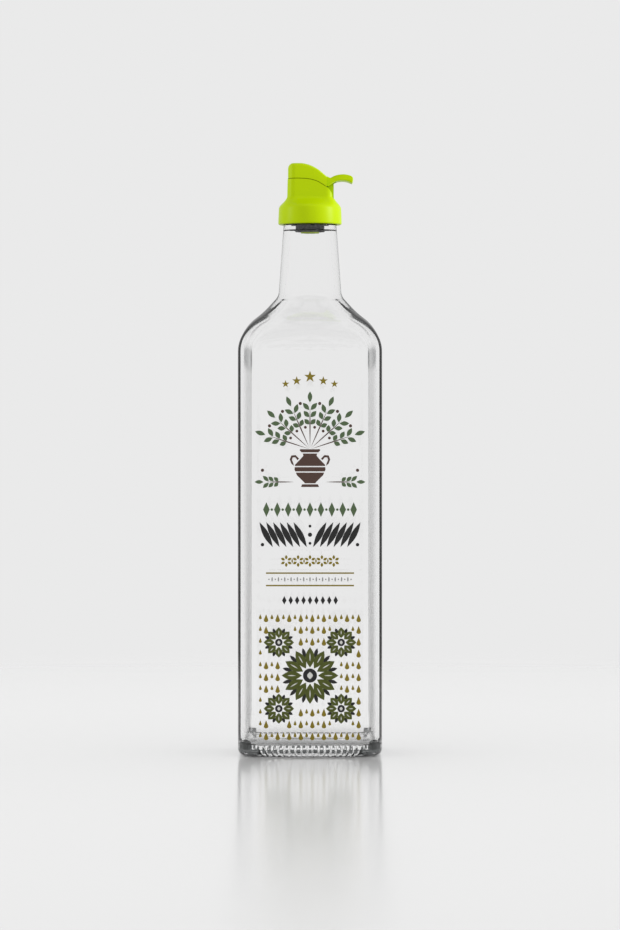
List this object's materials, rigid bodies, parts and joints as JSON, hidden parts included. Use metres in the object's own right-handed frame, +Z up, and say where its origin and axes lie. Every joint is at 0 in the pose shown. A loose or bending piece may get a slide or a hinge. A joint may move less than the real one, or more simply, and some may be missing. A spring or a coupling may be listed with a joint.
{
  "type": "oil cruet",
  "caption": "Tall square clear glass oil bottle with a round neck, a lime plastic pourer on a rubber stopper, and a flip lid opened by a thumb lever.",
  "frame": {"origin": "centre of the bottle's footprint on the surface that it stands on", "axes": "+Z up along the bottle's axis, +X towards the tip of the thumb lever, -Y out of the printed front"},
  "size_m": [0.0746, 0.0746, 0.3079],
  "materials": {
    "clear_glass": "clear polished glass with a thin printed decoration on the front",
    "lime_plastic": "smooth satin moulded plastic",
    "black_rubber": "smooth matt rubber"
  },
  "bodies": {
    "bottle": {"bottle": "clear_glass", "neck": "clear_glass", "stopper": "black_rubber", "pourer": "lime_plastic", "tube": "lime_plastic"},
    "lid": {"lid": "lime_plastic"}
  },
  "joints": [
    {"name": "lid_hinge", "type": "hinge", "parent": "bottle", "child": "lid", "pos_m": [0.0108, 0, 0.2986], "axis": [0, 1, 0], "range_deg": [0, 50]}
  ]
}
